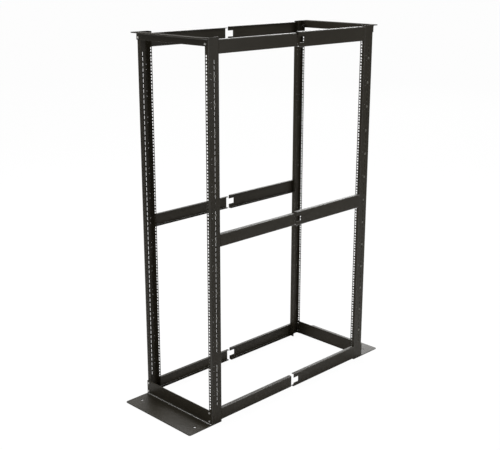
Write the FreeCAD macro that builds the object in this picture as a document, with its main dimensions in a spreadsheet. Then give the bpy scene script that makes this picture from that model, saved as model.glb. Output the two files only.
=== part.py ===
import FreeCAD, Part
import os
import Sketcher

# Four post open frame equipment rack: a front and a rear upright frame, each with its base angle
# and top angle, and three pairs of half beams that reach along each side to an open gap.
# X runs across the rack, Y from front to back, Z up from the floor. The front frame is at -Y.

doc = FreeCAD.newDocument("OpenFrameRack")
sheet = doc.addObject("Spreadsheet::Sheet", "Sizes")

sizes = [
    ("rack_height", 1869.0, "floor to top angle"),
    ("bay_opening", 450.0, "clear width between the flanges of the mounting faces"),
    ("frame_depth", 1161.0, "front mounting face to rear mounting face"),
    ("post_flange", 22.65, "width of a post's flange at the mounting face"),
    ("inner_flange", 29.5, "width of a post's flange at its far side"),
    ("post_depth", 63.5, "width of a post's web"),
    ("post_wall", 2.0, "sheet thickness of the posts"),
    ("post_bend", 1.5, "inside radius of the posts' bends"),
    ("hole_inset", 7.55, "flange edge to the hole column"),
    ("hole_side", 9.5, "side of a square mounting hole"),
    ("hole_step", 15.875, "spacing of the three holes in a unit"),
    ("unit_step", 44.45, "height of one rack unit"),
    ("hole_start", 10.9, "top of the base leg to the lowest hole"),
    ("hole_finish", 40.0, "least space from the top leg to the highest hole"),
    ("angle_wall", 4.8, "thickness of the base and top angles"),
    ("angle_bend", 4.0, "inside radius of the angles"),
    ("base_leg", 76.2, "height of the base angle's upright leg"),
    ("base_plate", 148.0, "reach of the base angle's plate past the post"),
    ("plate_corner", 9.0, "corner radius of the base plate"),
    ("top_leg", 38.1, "height of the top angle's upright leg"),
    ("top_ledge", 38.1, "reach of the top angle's ledge past the post"),
    ("anchor_hole", 14.0, "diameter of the floor anchor holes"),
    ("anchor_inset", 44.45, "end of the base plate to its anchor hole"),
    ("anchor_reach", 76.0, "post face to the anchor holes"),
    ("front_beam", 63.5, "height of the front half beams"),
    ("rear_beam", 73.0, "height of the rear half beams"),
    ("beam_flange", 17.5, "width of the beams' flanges"),
    ("beam_wall", 3.0, "sheet thickness of the beams"),
    ("beam_bend", 1.5, "inside radius of the beams' bends"),
    ("beam_margin", 5.5, "rear half beam to the floor or to the rack's top"),
    ("beam_gap", 20.0, "open gap between two half beams"),
    ("notch_depth", 36.0, "length of the notch in a rear half beam"),
    ("notch_height", 30.0, "height of the notch in a rear half beam"),
]

for row, (alias, value, note) in enumerate(sizes, start=1):
    sheet.set("A%d" % row, alias)
    sheet.set("B%d" % row, str(value))
    sheet.set("C%d" % row, note)
    sheet.setAlias("B%d" % row, alias)
doc.recompute()


def cells(text):
    """Turn the size names in a formula into references to the sheet."""
    for alias in sorted((entry[0] for entry in sizes), key=len, reverse=True):
        text = text.replace("@" + alias, "Sizes." + alias)
    return text


half_width = "(@bay_opening / 2 + @post_flange)"
half_bay = "(@bay_opening / 2)"
half_depth = "(@frame_depth / 2)"
hole_column = "(@bay_opening / 2 + @hole_inset)"
lowest_hole = "(@base_leg + @hole_start)"
end_gap = "(@unit_step - 2 * @hole_step)"
unit_count = (
    "floor((@rack_height - @base_leg - @top_leg - @hole_start - @hole_finish"
    " - @unit_step + 2 * @hole_step) / @unit_step)"
)
inner_post = "(@frame_depth / 2 - @post_depth)"
beam_length = "(@frame_depth / 2 - @post_depth - @beam_gap / 2)"

built = []


def evaluate(body, formula):
    return float(body.evalExpression(cells(formula)))


def new_body(label):
    body = doc.addObject("PartDesign::Body", label)
    body.Label = label
    built.append(body)
    return body


def new_sketch(body, name, role, offset=None):
    """Start a sketch on one of the body's origin planes, set off along the plane's normal."""
    plane = [item for item in body.Origin.OriginFeatures if item.Role == role][0]
    sketch = body.newObject("Sketcher::SketchObject", name)
    sketch.AttachmentSupport = (plane, "")
    sketch.MapMode = "FlatFace"
    if offset:
        sketch.setExpression(".AttachmentOffset.Base.z", cells(offset))
    return sketch


def hold(sketch, geometry, end, axis, sign, formula):
    """Hold one point of a sketch at a distance from the origin, on the side that sign gives."""
    value = evaluate(sketch, formula)
    if sign < 0:
        rule = Sketcher.Constraint("Distance" + axis, geometry, end, -1, 1, value)
    else:
        rule = Sketcher.Constraint("Distance" + axis, -1, 1, geometry, end, value)
    index = sketch.addConstraint(rule)
    sketch.setExpression("Constraints[%d]" % index, cells(formula))


def outline(sketch, corners):
    """Draw a closed outline. Each corner is (sign, formula) across and (sign, formula) up."""
    points = []
    for (across_sign, across), (up_sign, up) in corners:
        across_value = across_sign * evaluate(sketch, across)
        up_value = up_sign * evaluate(sketch, up)
        points.append(FreeCAD.Vector(across_value, up_value, 0))
    lines = []
    for start, finish in zip(points, points[1:] + points[:1]):
        lines.append(sketch.addGeometry(Part.LineSegment(start, finish), False))
    for first, second in zip(lines, lines[1:] + lines[:1]):
        sketch.addConstraint(Sketcher.Constraint("Coincident", first, 2, second, 1))
    for line, (across, up) in zip(lines, corners):
        hold(sketch, line, 1, "X", *across)
        hold(sketch, line, 1, "Y", *up)


def rectangle(sketch, sign, near, far, low, high, up_sign=1):
    outline(sketch, [
        ((sign, near), (up_sign, low)),
        ((sign, far), (up_sign, low)),
        ((sign, far), (up_sign, high)),
        ((sign, near), (up_sign, high)),
    ])


def circle(sketch, across, up, diameter):
    centre = FreeCAD.Vector(
        across[0] * evaluate(sketch, across[1]), up[0] * evaluate(sketch, up[1]), 0
    )
    radius = evaluate(sketch, diameter) / 2
    ring = sketch.addGeometry(Part.Circle(centre, FreeCAD.Vector(0, 0, 1), radius), False)
    hold(sketch, ring, 3, "X", *across)
    hold(sketch, ring, 3, "Y", *up)
    index = sketch.addConstraint(Sketcher.Constraint("Diameter", ring, 2 * radius))
    sketch.setExpression("Constraints[%d]" % index, cells(diameter))


def pad(body, sketch, length, reverse=False, both_ways=False):
    feature = body.newObject("PartDesign::Pad", sketch.Name + "Pad")
    feature.Profile = sketch
    feature.setExpression("Length", cells(length))
    feature.Reversed = reverse
    if both_ways:
        feature.SideType = "Symmetric"
    doc.recompute()
    return feature


def pocket(body, sketch, length):
    """Cut a sketch both ways through the wall that it lies on, and check that it cut."""
    before = body.Shape.Volume
    feature = body.newObject("PartDesign::Pocket", sketch.Name + "Pocket")
    feature.Profile = sketch
    feature.SideType = "Symmetric"
    feature.setExpression("Length", cells(length))
    doc.recompute()
    if body.Shape.Volume >= before:
        raise RuntimeError(sketch.Name + " cuts nothing")
    return feature


def fillet(body, name, run, spots, radius):
    """Round the straight edges that run one way through the given spots."""
    names = []
    before = body.Tip
    for index, edge in enumerate(body.Shape.Edges, start=1):
        if len(edge.Vertexes) != 2 or abs(edge.tangentAt(edge.FirstParameter).dot(run)) < 0.999:
            continue
        middle = edge.Vertexes[0].Point.add(edge.Vertexes[1].Point).multiply(0.5)
        for spot in spots:
            away = middle.sub(spot)
            away = away.sub(FreeCAD.Vector(run).multiply(away.dot(run)))
            if away.Length < 0.01:
                names.append("Edge%d" % index)
                break
    feature = body.newObject("PartDesign::Fillet", name)
    feature.Base = (before, names)
    feature.setExpression("Radius", cells(radius))
    doc.recompute()
    if len(names) != len(spots):
        raise RuntimeError("%s found %d of %d edges" % (name, len(names), len(spots)))


def make_post(label, side, end):
    """A channel post: its web faces outwards and both flanges turn in towards the bay."""
    body = new_body(label)
    profile = new_sketch(body, label + "_profile", "XY_Plane")
    web_in = half_width + " - @post_wall"
    lip = half_width + " - @inner_flange"
    face = half_depth
    back = inner_post
    face_in = half_depth + " - @post_wall"
    back_in = inner_post + " + @post_wall"
    outline(profile, [
        ((side, half_width), (end, face)),
        ((side, half_bay), (end, face)),
        ((side, half_bay), (end, face_in)),
        ((side, web_in), (end, face_in)),
        ((side, web_in), (end, back_in)),
        ((side, lip), (end, back_in)),
        ((side, lip), (end, back)),
        ((side, half_width), (end, back)),
    ])
    pad(body, profile, "@rack_height")
    x_out = side * evaluate(body, half_width)
    x_in = side * evaluate(body, web_in)
    y_face = end * evaluate(body, face)
    y_back = end * evaluate(body, back)
    up = FreeCAD.Vector(0, 0, 1)
    outer = [FreeCAD.Vector(x_out, y_face, 0), FreeCAD.Vector(x_out, y_back, 0)]
    inner = [
        FreeCAD.Vector(x_in, end * evaluate(body, face_in), 0),
        FreeCAD.Vector(x_in, end * evaluate(body, back_in), 0),
    ]
    fillet(body, label + "_outer_bends", up, outer, "@post_bend + @post_wall")
    fillet(body, label + "_inner_bends", up, inner, "@post_bend")
    cut_mounting_holes(body, label, side, end)
    return body


def face_offset(end, extra=""):
    """Distance along the XZ plane's normal, which points to -Y, to a mounting face."""
    return ("-1 * " if end > 0 else "") + "(" + half_depth + extra + ")"


def cut_mounting_holes(body, label, side, end):
    """Square holes in groups of three to a unit, and one hole more at each end of the column."""
    near = hole_column + " - @hole_side / 2"
    far = hole_column + " + @hole_side / 2"
    group = new_sketch(body, label + "_unit_holes", "XZ_Plane", face_offset(end))
    for step in range(3):
        centre = "%s + %s + %d * @hole_step" % (lowest_hole, end_gap, step)
        rectangle(group, side, near, far, centre + " - @hole_side / 2", centre + " + @hole_side / 2")
    cut = pocket(body, group, "4 * @post_wall")
    column = body.newObject("PartDesign::LinearPattern", label + "_hole_column")
    column.Originals = [cut]
    column.Direction = (group, ["V_Axis"])
    column.setExpression("Length", cells("(%s - 1) * @unit_step" % unit_count))
    column.setExpression("Occurrences", cells(unit_count))
    body.Tip = column
    doc.recompute()
    ends = new_sketch(body, label + "_end_holes", "XZ_Plane", face_offset(end))
    highest = "%s + %s * @unit_step + %s" % (lowest_hole, unit_count, end_gap)
    for centre in (lowest_hole, highest):
        rectangle(ends, side, near, far, centre + " - @hole_side / 2", centre + " + @hole_side / 2")
    pocket(body, ends, "4 * @post_wall")


def make_base_angle(label, end):
    """The base angle: a leg bolted to the posts and a plate that lies on the floor."""
    body = new_body(label)
    profile = new_sketch(body, label + "_profile", "YZ_Plane")
    leg_out = half_depth + " + @angle_wall"
    tip = half_depth + " + @base_plate"
    outline(profile, [
        ((end, half_depth), (1, "0")),
        ((end, tip), (1, "0")),
        ((end, tip), (1, "@angle_wall")),
        ((end, leg_out), (1, "@angle_wall")),
        ((end, leg_out), (1, "@base_leg")),
        ((end, half_depth), (1, "@base_leg")),
    ])
    pad(body, profile, "2 * " + half_width, both_ways=True)
    along = FreeCAD.Vector(1, 0, 0)
    fold = FreeCAD.Vector(0, end * evaluate(body, leg_out), evaluate(body, "@angle_wall"))
    fillet(body, label + "_fold", along, [fold], "@angle_bend")
    corners = []
    for side in (-1, 1):
        corner_x = side * evaluate(body, half_width)
        corners.append(FreeCAD.Vector(corner_x, end * evaluate(body, tip), 0))
    fillet(body, label + "_corners", FreeCAD.Vector(0, 0, 1), corners, "@plate_corner")
    anchors = new_sketch(body, label + "_anchors", "XY_Plane")
    for side in (-1, 1):
        reach = half_depth + " + @anchor_reach"
        circle(anchors, (side, half_width + " - @anchor_inset"), (end, reach), "@anchor_hole")
    pocket(body, anchors, "4 * @angle_wall")
    return body


def make_top_angle(label, end):
    """The top angle: a leg bolted to the posts and a ledge level with their tops."""
    body = new_body(label)
    profile = new_sketch(body, label + "_profile", "YZ_Plane")
    leg_out = half_depth + " + @angle_wall"
    tip = half_depth + " + @top_ledge"
    under = "@rack_height - @angle_wall"
    outline(profile, [
        ((end, half_depth), (1, "@rack_height - @top_leg")),
        ((end, leg_out), (1, "@rack_height - @top_leg")),
        ((end, leg_out), (1, under)),
        ((end, tip), (1, under)),
        ((end, tip), (1, "@rack_height")),
        ((end, half_depth), (1, "@rack_height")),
    ])
    pad(body, profile, "2 * " + half_width, both_ways=True)
    fold = FreeCAD.Vector(0, end * evaluate(body, leg_out), evaluate(body, under))
    fillet(body, label + "_fold", FreeCAD.Vector(1, 0, 0), [fold], "@angle_bend")
    return body


def make_half_beam(label, side, end, height, level, notched):
    """Half a side beam: a channel welded end on to its post, with its flanges turned in."""
    body = new_body(label)
    web_in = half_width + " - @beam_wall"
    edge = half_width + " - @beam_flange"
    top = height + " / 2"
    top_in = height + " / 2 - @beam_wall"
    profile = new_sketch(body, label + "_profile", "XZ_Plane")
    outline(profile, [
        ((side, half_width), (-1, top)),
        ((side, half_width), (1, top)),
        ((side, edge), (1, top)),
        ((side, edge), (1, top_in)),
        ((side, web_in), (1, top_in)),
        ((side, web_in), (-1, top_in)),
        ((side, edge), (-1, top_in)),
        ((side, edge), (-1, top)),
    ])
    pad(body, profile, beam_length, reverse=end < 0)
    along = FreeCAD.Vector(0, 1, 0)
    x_out = side * evaluate(body, half_width)
    x_in = side * evaluate(body, web_in)
    z_out = evaluate(body, top)
    z_in = evaluate(body, top_in)
    outer = [FreeCAD.Vector(x_out, 0, z_out), FreeCAD.Vector(x_out, 0, -z_out)]
    inner = [FreeCAD.Vector(x_in, 0, z_in), FreeCAD.Vector(x_in, 0, -z_in)]
    fillet(body, label + "_outer_bends", along, outer, "@beam_bend + @beam_wall")
    fillet(body, label + "_inner_bends", along, inner, "@beam_bend")
    if notched:
        notch = new_sketch(body, label + "_notch", "YZ_Plane", face_side(side))
        root = beam_length + " - @notch_depth"
        outline(notch, [
            ((-end, root), (-1, "@notch_height / 2")),
            ((-end, beam_length + " + @notch_depth"), (-1, "@notch_height / 2")),
            ((-end, beam_length + " + @notch_depth"), (1, "@notch_height / 2")),
            ((-end, root), (1, "@notch_height / 2")),
        ])
        pocket(body, notch, "4 * @beam_wall")
    body.setExpression(".Placement.Base.y", cells(("" if end > 0 else "-1 * ") + inner_post))
    body.setExpression(".Placement.Base.z", cells(level))
    return body


def face_side(side):
    """Distance along the YZ plane's normal, which points to +X, to a beam's web."""
    return ("" if side > 0 else "-1 * ") + half_width


def check_and_export():
    doc.recompute()
    for item in doc.Objects:
        if "Invalid" in item.State or "Error" in item.State:
            raise RuntimeError(item.Label + " failed: " + ", ".join(item.State))
    os.makedirs("parts", exist_ok=True)
    for body in built:
        shape = body.Shape
        if shape.isNull() or not shape.isValid() or len(shape.Solids) != 1:
            raise RuntimeError(body.Label + " is not one valid solid")
    for body in built:
        body.Shape.exportStep("parts/%s.step" % body.Label)
        box = body.Shape.BoundBox
        print("%-26s %9.0f mm3  z %.1f to %.1f" % (body.Label, body.Shape.Volume, box.ZMin, box.ZMax))


for end_name, end in (("front", -1), ("rear", 1)):
    for side_name, side in (("left", -1), ("right", 1)):
        make_post("%s_%s_post" % (end_name, side_name), side, end)
    make_base_angle(end_name + "_base_angle", end)
    make_top_angle(end_name + "_top_angle", end)

levels = [
    ("bottom", "@rear_beam / 2 + @beam_margin"),
    ("middle", "@rack_height / 2"),
    ("top", "@rack_height - @rear_beam / 2 - @beam_margin"),
]
for level_name, level in levels:
    for side_name, side in (("left", -1), ("right", 1)):
        make_half_beam("%s_%s_front_beam" % (level_name, side_name), side, -1, "@front_beam", level, False)
        make_half_beam("%s_%s_rear_beam" % (level_name, side_name), side, 1, "@rear_beam", level, True)

check_and_export()
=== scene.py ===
import math

import bmesh
import bpy
from mathutils import Matrix, Vector


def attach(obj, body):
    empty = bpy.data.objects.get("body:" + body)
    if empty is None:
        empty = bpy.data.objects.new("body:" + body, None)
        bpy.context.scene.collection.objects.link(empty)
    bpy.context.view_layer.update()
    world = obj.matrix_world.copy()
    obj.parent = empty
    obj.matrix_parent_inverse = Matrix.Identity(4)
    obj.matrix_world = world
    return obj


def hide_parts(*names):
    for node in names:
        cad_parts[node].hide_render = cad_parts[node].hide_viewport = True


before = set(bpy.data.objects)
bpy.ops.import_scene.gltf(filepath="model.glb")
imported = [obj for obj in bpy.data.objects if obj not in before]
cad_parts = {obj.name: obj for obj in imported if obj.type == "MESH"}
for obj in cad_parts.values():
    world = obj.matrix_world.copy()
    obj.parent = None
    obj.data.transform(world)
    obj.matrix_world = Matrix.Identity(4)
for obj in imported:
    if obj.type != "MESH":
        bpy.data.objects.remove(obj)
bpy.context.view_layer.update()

# the rack stands on the floor, front frame at -Y, sizes in metres
rack = {
    "halfWidth": 0.24765,
    "face": 0.5805,        # from the middle to the posts' mounting faces
    "height": 1.869,
}
# name, side and end of each post
postSpots = [
    (endName + "_" + sideName, side, end)
    for endName, end in (("front", -1), ("rear", 1))
    for sideName, side in (("left", -1), ("right", 1))
]


# shader values that can be written as sums

class Shade:
    def __init__(self, tree, socket):
        self.tree = tree
        self.socket = socket

    def node(self, kind, settings=None, inputs=None, out=0):
        made = self.tree.nodes.new(kind)
        for name, value in (settings or {}).items():
            setattr(made, name, value)
        for name, value in (inputs or {}).items():
            if isinstance(value, Shade):
                self.tree.links.new(value.socket, made.inputs[name])
            else:
                made.inputs[name].default_value = value
        return Shade(self.tree, made.outputs[out])

    def maths(self, operation, first, second):
        return self.node("ShaderNodeMath", {"operation": operation}, {0: first, 1: second})

    def __add__(self, other):
        return self.maths("ADD", self, other)

    def __radd__(self, other):
        return self.maths("ADD", other, self)

    def __sub__(self, other):
        return self.maths("SUBTRACT", self, other)

    def __rsub__(self, other):
        return self.maths("SUBTRACT", other, self)

    def __mul__(self, other):
        return self.maths("MULTIPLY", self, other)

    def __rmul__(self, other):
        return self.maths("MULTIPLY", other, self)


def newMaterial(name):
    material = bpy.data.materials.new(name)
    material.use_nodes = True
    tree = material.node_tree
    tree.nodes.clear()
    output = tree.nodes.new("ShaderNodeOutputMaterial")
    return material, Shade(tree, None), output


# black powder coat on folded steel

powderCoat = {
    "dark": (0.0100, 0.0084, 0.0056, 1),
    "pale": (0.0142, 0.0120, 0.0080, 1),
    "roughness": 0.36,
    "roughnessSpread": 0.06,
    "grain": 700,          # the coat's fine pebbling, per metre
    "grainHeight": 0.00004,
    "wave": 45,            # the slower flow of the coat
    "waveHeight": 0.00005,
    "fineDetail": 2,
    "clouds": 5,           # shifts of tone and gloss, per metre
    "cloudDetail": 4,
    "specular": 0.09,
}
# the coat is thinner and smoother where the steel is folded
bendLook = dict(powderCoat, roughness=0.30, roughnessSpread=0.03, specular=0.35)
# and matt on the upper faces of the top angles, where dust settles
upperLook = dict(powderCoat, roughness=0.85, roughnessSpread=0.05, specular=0.03)


def makePowderCoat(name, look):
    material, shade, output = newMaterial(name)
    place = shade.node("ShaderNodeTexCoord", out="Object")

    def noise(scale, detail):
        return shade.node("ShaderNodeTexNoise", {}, {"Vector": place, "Scale": scale, "Detail": detail})

    clouds = noise(look["clouds"], look["cloudDetail"])
    grain = noise(look["grain"], look["fineDetail"])
    wave = noise(look["wave"], look["fineDetail"])
    colour = shade.node(
        "ShaderNodeMix", {"data_type": "RGBA"},
        {"Factor": clouds, "A": look["dark"], "B": look["pale"]}, "Result",
    )
    roughness = look["roughness"] + (clouds - 0.5) * (2 * look["roughnessSpread"])
    flow = shade.node(
        "ShaderNodeBump", {},
        {"Height": wave, "Distance": look["waveHeight"], "Strength": 1},
    )
    bump = shade.node(
        "ShaderNodeBump", {},
        {"Height": grain, "Distance": look["grainHeight"], "Strength": 1, "Normal": flow},
    )
    surface = shade.node(
        "ShaderNodeBsdfPrincipled", {},
        {
            "Base Color": colour,
            "Roughness": roughness,
            "Normal": bump,
            "Specular IOR Level": look["specular"],
        },
    )
    shade.tree.links.new(surface.socket, output.inputs["Surface"])
    return material


# plated fixings

plating = {
    "dark": (0.26, 0.26, 0.25, 1),
    "pale": (0.48, 0.47, 0.45, 1),
    "roughness": 0.34,
    "roughnessRise": 0.15,     # in the palest spots
    "mottle": 420,             # per metre
    "mottleDetail": 3,
    "mottleHeight": 0.00003,
}
dulledPlating = dict(
    plating,
    dark=(0.07, 0.068, 0.062, 1),
    pale=(0.15, 0.145, 0.13, 1),
    roughness=0.42,
)


def makePlating(name, look):
    material, shade, output = newMaterial(name)
    place = shade.node("ShaderNodeTexCoord", out="Object")
    mottle = shade.node(
        "ShaderNodeTexNoise", {},
        {"Vector": place, "Scale": look["mottle"], "Detail": look["mottleDetail"]},
    )
    colour = shade.node(
        "ShaderNodeMix", {"data_type": "RGBA"},
        {"Factor": mottle, "A": look["dark"], "B": look["pale"]}, "Result",
    )
    bump = shade.node(
        "ShaderNodeBump", {},
        {"Height": mottle, "Distance": look["mottleHeight"], "Strength": 1},
    )
    surface = shade.node(
        "ShaderNodeBsdfPrincipled", {},
        {
            "Base Color": colour,
            "Metallic": 1,
            "Roughness": look["roughness"] + mottle * look["roughnessRise"],
            "Normal": bump,
        },
    )
    shade.tree.links.new(surface.socket, output.inputs["Surface"])
    return material


coat = makePowderCoat("blackPowderCoat", powderCoat)
bendCoat = makePowderCoat("bendPowderCoat", bendLook)
upperCoat = makePowderCoat("upperPowderCoat", upperLook)
zinc = makePlating("zincPlating", plating)
dulled = makePlating("dulledPlating", dulledPlating)
print("materials made")


# workshop: what the pieces below are made with

workshop = {
    "same": 1e-6,          # places closer than this are one
    "cut": 1e-7,           # a corner closer than this to a cut lies on it
    "hole": 1e-4,          # how near its middle a hole's face is looked for
    "roundShare": 0.97,    # of half a hole's width, so that its rounded corners don't meet
    "cornerSteps": 3,
    "bendAngle": 1,        # radians, above which an edge is a bend to be rounded
}


def same(first, second):
    return abs(first - second) < workshop["same"]


def only(items, kind):
    return [item for item in items if isinstance(item, kind)]


def bevel(bm, geom, offset, steps, affect="EDGES"):
    return bmesh.ops.bevel(
        bm, geom=geom, offset=offset, offset_type="OFFSET", segments=steps,
        profile=0.5, affect=affect, material=-1, clamp_overlap=True,
    )


def cutAcross(bm, faces, spot, normal):
    edges = {edge for face in faces for edge in face.edges}
    verts = {vertex for face in faces for vertex in face.verts}
    bmesh.ops.bisect_plane(bm, geom=[*faces, *edges, *verts], plane_co=spot, plane_no=normal)


def punch(bm, faces, rounding):
    # takes faces out of the sheet and rounds the corners of the holes they leave
    corners = {vertex for face in faces for vertex in face.verts}
    bmesh.ops.delete(bm, geom=faces, context="FACES_ONLY")
    bevel(bm, list(corners), rounding, workshop["cornerSteps"], "VERTICES")


def finishPiece(bm, name, materials):
    mesh = bpy.data.meshes.new(name)
    bm.to_mesh(mesh)
    bm.free()
    piece = bpy.data.objects.new(name, mesh)
    bpy.context.scene.collection.objects.link(piece)
    for material in materials:
        mesh.materials.append(material)
    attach(piece, "root")
    return piece


# the four posts, one pressing turned half round for the left side

post = {
    "depth": 0.0635,
    "wall": 0.002,
    "bend": 0.0024,            # outside radius, 3.5 mm in the solids
    "bendSteps": 5,
    "outerFlange": 0.02265,    # at the mounting face
    "innerFlange": 0.0295,
    "holeInset": 0.00755,      # from the flange's free edge to the middle of the holes
    "holeSide": 0.0087,        # 9.5 mm in the solids, drawn smaller against the white behind
    "holeCorner": 0.0006,
    "firstHole": 0.0871,
    "holeStep": 0.015875,
    "holesPerUnit": 3,
    "unit": 0.04445,
    "units": 38,
    "slotTop": 1.7630,         # centre of the highest slot
    "slotPitch": 0.025475,
    "slots": 66,
    "slotLine": 0.0031,        # off the middle of the web
    "slotWidth": 0.0037,
    "slotLength": 0.0182,
    "pairs": 13,               # small holes beside every fifth bridge between two slots
    "pairEvery": 5,
    "firstPair": 2.5,          # slot pitches below the highest slot
    "pairInset": 0.015,
    "pairHole": 0.0034,
}


def postPlace(side, end):
    turn = Matrix.Rotation(0 if side > 0 else math.pi, 4, "Z")
    shift = Matrix.Translation((0, end * (rack["face"] - post["depth"] / 2), 0))
    return shift @ turn


def holeCentres():
    # groups of three, and one hole more below the first group and above the last
    perUnit = post["holesPerUnit"]
    start = post["firstHole"] + post["unit"] - (perUnit - 1) * post["holeStep"]
    grouped = [
        start + unit * post["unit"] + step * post["holeStep"]
        for unit in range(post["units"]) for step in range(perUnit)
    ]
    return [post["firstHole"], *grouped, start + post["units"] * post["unit"]]


def slotCentres():
    return [post["slotTop"] - index * post["slotPitch"] for index in reversed(range(post["slots"]))]


def pairHeights():
    drops = [post["firstPair"] + post["pairEvery"] * index for index in range(post["pairs"])]
    return [post["slotTop"] - drop * post["slotPitch"] for drop in drops]


def pairCentres():
    return [
        height + step * post["slotPitch"]
        for height in reversed(pairHeights()) for step in (-0.5, 0.5)
    ]


def cutStrip(bm, strip, centres, length):
    # cuts a tall face from the bottom up, and gives back the faces that become holes
    cuts = [centre + shift for centre in centres for shift in (-length / 2, length / 2)]
    rest = strip
    holes = []
    for index, height in enumerate(cuts):
        made = bmesh.ops.bisect_plane(
            bm, geom=[rest, *rest.edges, *rest.verts],
            plane_co=(0, 0, height), plane_no=(0, 0, 1), dist=workshop["cut"],
        )
        edge = only(made["geom_cut"], bmesh.types.BMEdge)[0]
        lower, rest = sorted(edge.link_faces, key=lambda face: face.calc_center_median().z)
        if index % 2:
            holes.append(lower)
    return holes


def stripAt(bm, axis, spot):
    # the face square to X or Y that the spot lies in, seen from above
    across = 1 - axis
    for face in bm.faces:
        low = [min(vertex.co[i] for vertex in face.verts) for i in range(2)]
        high = [max(vertex.co[i] for vertex in face.verts) for i in range(2)]
        flat = same(low[axis], high[axis]) and same(low[axis], spot[axis])
        if flat and low[across] < spot[across] < high[across]:
            return face
    raise ValueError("no strip there")


def makePost(name, side, end):
    depth = post["depth"]
    outer = rack["halfWidth"]
    # drawn for the right side, and turned half round for the left
    mountingSide = end * side
    lips = {mountingSide: outer - post["outerFlange"], -mountingSide: outer - post["innerFlange"]}
    bm = bmesh.new()
    corners = [(lips[-1], -depth / 2), (outer, -depth / 2), (outer, depth / 2), (lips[1], depth / 2)]
    line = [bm.verts.new((x, y, 0)) for x, y in corners]
    edges = [bm.edges.new(pair) for pair in zip(line, line[1:])]
    made = bmesh.ops.extrude_edge_only(bm, edges=edges)
    raised = only(made["geom"], bmesh.types.BMVert)
    bmesh.ops.translate(bm, verts=raised, vec=(0, 0, rack["height"]))

    # columns of holes and slots become strips of their own
    holeHalf = post["holeSide"] / 2
    slotHalf = post["slotWidth"] / 2
    pairHalf = post["pairHole"] / 2
    pairLine = -depth / 2 + post["pairInset"]
    for flange, lip in lips.items():
        for shift in (-holeHalf, holeHalf):
            faces = [face for face in bm.faces if same(face.calc_center_median().y, flange * depth / 2)]
            cutAcross(bm, faces, (lip + post["holeInset"] + shift, 0, 0), (1, 0, 0))
    for middle, half in ((pairLine, pairHalf), (post["slotLine"], slotHalf)):
        for y in (middle - half, middle + half):
            cutAcross(bm, bm.faces[:], (0, y, 0), (0, 1, 0))
    bends = [
        edge for edge in bm.edges
        if len(edge.link_faces) == 2 and edge.calc_face_angle(0) > workshop["bendAngle"]
    ]
    # the bends that face the front have the smoother coat
    for face in bevel(bm, bends, post["bend"], post["bendSteps"])["faces"]:
        if face.calc_center_median().y * side < 0:
            face.material_index = 1

    for flange, lip in lips.items():
        strip = stripAt(bm, 1, (lip + post["holeInset"], flange * depth / 2))
        punch(bm, cutStrip(bm, strip, holeCentres(), post["holeSide"]), post["holeCorner"])
    strip = stripAt(bm, 0, (outer, post["slotLine"]))
    slots = cutStrip(bm, strip, slotCentres(), post["slotLength"])
    punch(bm, slots, slotHalf * workshop["roundShare"])
    strip = stripAt(bm, 0, (outer, pairLine))
    pairs = cutStrip(bm, strip, pairCentres(), post["pairHole"])
    punch(bm, pairs, pairHalf * workshop["roundShare"])

    bmesh.ops.recalc_face_normals(bm, faces=bm.faces)
    webFace = max(bm.faces, key=lambda face: face.calc_center_median().x)
    if webFace.normal.x < 0:
        bmesh.ops.reverse_faces(bm, faces=bm.faces)
    bmesh.ops.transform(bm, matrix=postPlace(side, end), verts=bm.verts)
    piece = finishPiece(bm, name + "_steel", [coat, bendCoat])
    wall = piece.modifiers.new("wall", "SOLIDIFY")
    wall.thickness = post["wall"]
    wall.offset = -1
    wall.use_even_offset = True
    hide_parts(name)
    return piece


for spotName, side, end in postSpots:
    made = makePost(spotName + "_post", side, end)
print("posts made,", len(made.data.polygons), "faces each")


# collars pressed into the webs between the pairs of small holes

collar = {
    "across": 0.0118,
    "bore": 0.0052,
    "proud": 0.0007,
    "deep": 0.0024,
    "edge": 0.0003,
    "sides": 20,
}


def makeCollars(name, side, end):
    bm = bmesh.new()
    edge = collar["edge"]
    across = collar["across"]
    for height in pairHeights():
        ring = bmesh.ops.create_circle(bm, segments=collar["sides"], radius=across / 2)
        rim = list({link for vertex in ring["verts"] for link in vertex.link_edges})
        loops = [rim]
        # each step is a scale of the ring about its middle, and a rise
        for scale, rise in (
            (1, collar["proud"] - edge),
            (1 - 2 * edge / across, edge),
            (collar["bore"] / (across - 2 * edge), 0),
            (1, -collar["proud"] - collar["deep"]),
        ):
            made = bmesh.ops.extrude_edge_only(bm, edges=loops[-1])
            verts = only(made["geom"], bmesh.types.BMVert)
            bmesh.ops.scale(bm, verts=verts, vec=(scale, scale, 1))
            bmesh.ops.translate(bm, verts=verts, vec=(0, 0, rise))
            loops.append(only(made["geom"], bmesh.types.BMEdge))
        bmesh.ops.contextual_create(bm, geom=loops[-1])
        bmesh.ops.contextual_create(bm, geom=loops[0])
        fresh = [vertex for vertex in bm.verts if not vertex.tag]
        turn = Matrix.Rotation(math.pi / 2, 4, "Y")
        spot = Matrix.Translation((rack["halfWidth"], post["slotLine"], height))
        bmesh.ops.transform(bm, matrix=spot @ turn, verts=fresh)
        for vertex in fresh:
            vertex.tag = True
    bmesh.ops.recalc_face_normals(bm, faces=bm.faces)
    bmesh.ops.transform(bm, matrix=postPlace(side, end), verts=bm.verts)
    finishPiece(bm, name, [dulled])


for spotName, side, end in postSpots:
    makeCollars("collars_" + spotName, side, end)
print("collars made")


# base and top angles

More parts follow.
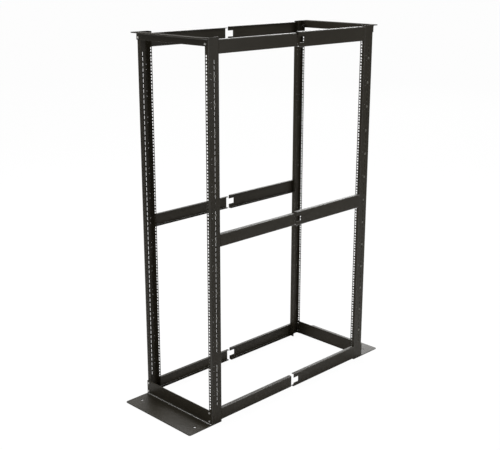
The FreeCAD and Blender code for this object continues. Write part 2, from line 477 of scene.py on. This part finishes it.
angles = {
    "base": {
        "corner": 0, "up": 1, "leg": 0.0762, "reach": 0.148,
        "rounding": 0.009, "anchorReach": 0.076,
    },
    "top": {
        "corner": rack["height"], "up": -1, "leg": 0.0381, "reach": 0.0381,
        "rounding": 0.0015, "anchorReach": 0,
    },
}
angleSteel = {
    "thick": 0.0048,
    "fold": 0.0062,        # inside radius, 4 mm in the solids
    "foldSteps": 10,
    "tipSteps": 6,
    "anchorLine": 0.2032,  # from the middle to each anchor hole
    "anchorRadius": 0.007,
    "edge": 0.0005,
    "edgeSteps": 2,
    "edgeAngle": 50,       # degrees, above which an edge is broken
}


def punchAnchors(bm, reach):
    radius = angleSteel["anchorRadius"]
    spots = [Vector((x, reach)) for x in (-angleSteel["anchorLine"], angleSteel["anchorLine"])]
    for spot in spots:
        for shift in (-radius, radius):
            cutAcross(bm, bm.faces[:], (spot.x + shift, 0, 0), (1, 0, 0))
    for shift in (-radius, radius):
        cutAcross(bm, bm.faces[:], (0, reach + shift, 0), (0, 1, 0))
    for spot in spots:
        plates = [
            facet for facet in bm.faces
            if (facet.calc_center_median().xy - spot).length < workshop["hole"]
        ]
        punch(bm, plates, radius * workshop["roundShare"])
        rims = [edge for edge in bm.edges if edge.is_boundary]
        bmesh.ops.bridge_loops(bm, edges=rims)


def makeAngle(name, kind, end):
    shape = angles[kind]
    thick, up, corner = angleSteel["thick"], shape["up"], shape["corner"]
    face = rack["face"]
    half = rack["halfWidth"]
    bm = bmesh.new()
    # an L section at one end, drawn along to the other
    section = [
        (face, 0), (face + shape["reach"], 0), (face + shape["reach"], thick),
        (face + thick, thick), (face + thick, shape["leg"]), (face, shape["leg"]),
    ]
    bm.faces.new([bm.verts.new((-half, end * y, corner + up * z)) for y, z in section])
    made = bmesh.ops.extrude_face_region(bm, geom=bm.faces[:])
    moved = only(made["geom"], bmesh.types.BMVert)
    bmesh.ops.translate(bm, verts=moved, vec=(2 * half, 0, 0))
    fold = [
        edge for edge in bm.edges
        if all(same(v.co.y, end * (face + thick)) for v in edge.verts)
        and all(same(v.co.z, corner + up * thick) for v in edge.verts)
    ]
    for facet in bevel(bm, fold, angleSteel["fold"], angleSteel["foldSteps"])["faces"]:
        facet.material_index = 1
    tips = [
        edge for edge in bm.edges
        if all(same(v.co.y, end * (face + shape["reach"])) for v in edge.verts)
        and same(edge.verts[0].co.x, edge.verts[1].co.x)
    ]
    bevel(bm, tips, shape["rounding"], angleSteel["tipSteps"])
    if shape["anchorReach"]:
        punchAnchors(bm, end * (face + shape["anchorReach"]))
    if kind == "top":
        for facet in bm.faces:
            if same(facet.calc_center_median().z, corner):
                facet.material_index = 2
    bmesh.ops.recalc_face_normals(bm, faces=bm.faces)
    piece = finishPiece(bm, name + "_steel", [coat, bendCoat, upperCoat])
    edge = piece.modifiers.new("edge", "BEVEL")
    edge.width = angleSteel["edge"]
    edge.segments = angleSteel["edgeSteps"]
    edge.limit_method = "ANGLE"
    edge.angle_limit = math.radians(angleSteel["edgeAngle"])
    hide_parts(name)
    return piece


for endName, end in (("front", -1), ("rear", 1)):
    for kind in ("base", "top"):
        made = makeAngle("%s_%s_angle" % (endName, kind), kind, end)
print("angles made,", len(made.data.polygons), "faces in a top angle")


# bolts of the base and top angles

bolt = {
    "across": 0.0085,      # head and nut
    "flats": 6,
    "head": 0.0038,
    "crownBevel": 0.0009,
    "crownSteps": 3,
    "washer": 0.0104,
    "washerThick": 0.0010,
    "washerSides": 24,
    "shank": 0.0079,
    "shankSides": 20,
    "grip": 0.0068,        # angle and post together
    "nut": 0.0045,
    "tail": 0.0020,        # shank past the nut
    "column": 0.2335,
    "heights": (0.020, 0.0645, 1.8415),
}


def raiseDisc(bm, sides, radius, base, rise):
    # a round or six sided disc from its base to its top, and gives back the top
    disc = bmesh.ops.create_circle(
        bm, cap_ends=True, segments=sides, radius=radius, matrix=Matrix.Translation((0, 0, base)),
    )["verts"]
    made = bmesh.ops.extrude_face_region(bm, geom=[disc[0].link_faces[0]])
    bmesh.ops.translate(bm, verts=only(made["geom"], bmesh.types.BMVert), vec=(0, 0, rise))
    return only(made["geom"], bmesh.types.BMFace)[0]


def makeBolt(name, spot, end):
    bm = bmesh.new()
    flats = bolt["flats"]
    cornerRadius = bolt["across"] / math.sqrt(3)
    # drawn with its head up, then turned to face outwards
    raiseDisc(bm, bolt["washerSides"], bolt["washer"] / 2, 0, bolt["washerThick"])
    crown = raiseDisc(bm, flats, cornerRadius, bolt["washerThick"], bolt["head"])
    bevel(bm, list(crown.edges), bolt["crownBevel"], bolt["crownSteps"])
    reach = bolt["grip"] + bolt["nut"] + bolt["tail"]
    raiseDisc(bm, bolt["shankSides"], bolt["shank"] / 2, 0, -reach)
    raiseDisc(bm, flats, cornerRadius, -bolt["grip"], -bolt["nut"])
    bmesh.ops.recalc_face_normals(bm, faces=bm.faces)
    turn = Matrix.Rotation(math.pi / 2 * (1 if end < 0 else -1), 4, "X")
    bmesh.ops.transform(bm, matrix=Matrix.Translation(spot) @ turn, verts=bm.verts)
    finishPiece(bm, name, [zinc])


for spotName, side, end in postSpots:
    for index, height in enumerate(bolt["heights"]):
        spot = (side * bolt["column"], end * (rack["face"] + angleSteel["thick"]), height)
        makeBolt("bolt_%s_%d" % (spotName, index), spot, end)
print("bolts made")


# the beams stay as the solids have them, with the smoother coat on the lower ones' bends

bendTilt = 0.1     # a facet whose normal leans this much both ways is part of a bend
for name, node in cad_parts.items():
    if name.endswith("_beam"):
        node.data.materials.clear()
        node.data.materials.append(coat)
        node.data.materials.append(bendCoat)
        for facet in node.data.polygons:
            bent = abs(facet.normal.x) > bendTilt and abs(facet.normal.z) > bendTilt
            facet.material_index = 1 if bent and not name.startswith("top") else 0
print("beams coated")


# floor, light and camera

studio = {
    "floorSize": 60,
    "floorAlbedo": 0.72,
    "floorShadow": 0.03,   # how much of the floor that the camera sees is lit paint
    "skyLevel": 0.54,      # of the sky's light on matt surfaces
    "aim": (0, 0, 0.9),    # where the lamps point
}


def makeFloor():
    bm = bmesh.new()
    bmesh.ops.create_grid(bm, x_segments=1, y_segments=1, size=studio["floorSize"])
    mesh = bpy.data.meshes.new("floor")
    bm.to_mesh(mesh)
    bm.free()
    floor = bpy.data.objects.new("floor", mesh)
    bpy.context.scene.collection.objects.link(floor)
    material, shade, output = newMaterial("paleFloor")
    albedo = studio["floorAlbedo"]
    paint = shade.node("ShaderNodeBsdfDiffuse", {}, {"Color": (albedo, albedo, albedo, 1)})
    white = shade.node("ShaderNodeEmission", {}, {"Color": (1, 1, 1, 1), "Strength": 1})
    seen = shade.node("ShaderNodeMixShader", {}, {0: 1 - studio["floorShadow"], 1: paint, 2: white})
    camera = shade.node("ShaderNodeLightPath", out="Is Camera Ray")
    surface = shade.node("ShaderNodeMixShader", {}, {0: camera, 1: paint, 2: seen})
    shade.tree.links.new(surface.socket, output.inputs["Surface"])
    mesh.materials.append(material)


def makeSky():
    # white to the camera and in reflections, dimmer as light
    world = bpy.data.worlds.new("studioSky")
    bpy.context.scene.world = world
    world.use_nodes = True
    world.node_tree.nodes.clear()
    output = world.node_tree.nodes.new("ShaderNodeOutputWorld")
    shade = Shade(world.node_tree, None)
    camera = shade.node("ShaderNodeLightPath", out="Is Camera Ray")
    glossy = shade.node("ShaderNodeLightPath", out="Is Glossy Ray")
    clear = shade.node("ShaderNodeLightPath", out="Is Transmission Ray")
    plain = 1 - shade.maths("MAXIMUM", shade.maths("MAXIMUM", camera, glossy), clear)
    level = 1 - plain * (1 - studio["skyLevel"])
    sky = shade.node("ShaderNodeBackground", {}, {"Color": (1, 1, 1, 1), "Strength": level})
    shade.tree.links.new(sky.socket, output.inputs["Surface"])


lamps = {
    "sideKey": {"spot": (2.2, 2.9, 3.6), "size": 1.2, "power": 112},
    "frontLeft": {"spot": (-3.2, -2.9, 4.2), "size": 1.0, "power": 230},
    "frontRight": {"spot": (2.4, -4.4, 1.8), "size": 1.0, "power": 70},
    "lowSide": {"spot": (3.2, 1.3, 1.4), "size": 0.8, "power": 21},
    "overhead": {"spot": (-2.4, 1.5, 4.6), "size": 2.4, "power": 340},
    "backKey": {"spot": (-6.2, 8.6, 5.2), "size": 3.0, "power": 300},
}


def makeLamp(name, lamp):
    data = bpy.data.lights.new(name, "AREA")
    data.shape = "SQUARE"
    data.size = lamp["size"]
    data.energy = lamp["power"]
    light = bpy.data.objects.new(name, data)
    light.location = lamp["spot"]
    aim = Vector(studio["aim"]) - Vector(lamp["spot"])
    light.rotation_euler = aim.to_track_quat("-Z", "Y").to_euler()
    bpy.context.scene.collection.objects.link(light)


lens = {
    "spot": (3.23657, -3.31490, 2.20302),
    "azimuth": 0.7836,         # radians, from straight at the front towards the right side
    "elevation": 0.2791,
    "roll": 0.0019,
    "focalPixels": 918.78,
    "centre": (251.03, 220.92),
    "frame": (500, 450),
    "sensor": 36,
    "farthest": 200,
}


def makeCamera():
    data = bpy.data.cameras.new("camera")
    camera = bpy.data.objects.new("camera", data)
    bpy.context.scene.collection.objects.link(camera)
    azimuth, elevation, roll = lens["azimuth"], lens["elevation"], lens["roll"]
    back = Vector((
        math.sin(azimuth) * math.cos(elevation),
        -math.cos(azimuth) * math.cos(elevation),
        math.sin(elevation),
    ))
    right = Vector((math.cos(azimuth), math.sin(azimuth), 0))
    up = back.cross(right)
    tiltedRight = right * math.cos(roll) + up * math.sin(roll)
    tiltedUp = up * math.cos(roll) - right * math.sin(roll)
    turn = Matrix((tiltedRight, tiltedUp, back)).transposed().to_4x4()
    camera.matrix_world = Matrix.Translation(lens["spot"]) @ turn
    width, height = lens["frame"]
    data.sensor_width = lens["sensor"]
    data.lens = lens["focalPixels"] * lens["sensor"] / width
    data.shift_x = (width / 2 - lens["centre"][0]) / width
    data.shift_y = (lens["centre"][1] - height / 2) / width
    data.clip_end = lens["farthest"]
    bpy.context.scene.camera = camera


makeFloor()
makeSky()
for name, lamp in lamps.items():
    makeLamp(name, lamp)
makeCamera()
bpy.context.scene.view_settings.view_transform = "Standard"
print("floor, light and camera set")

bpy.context.view_layer.update()
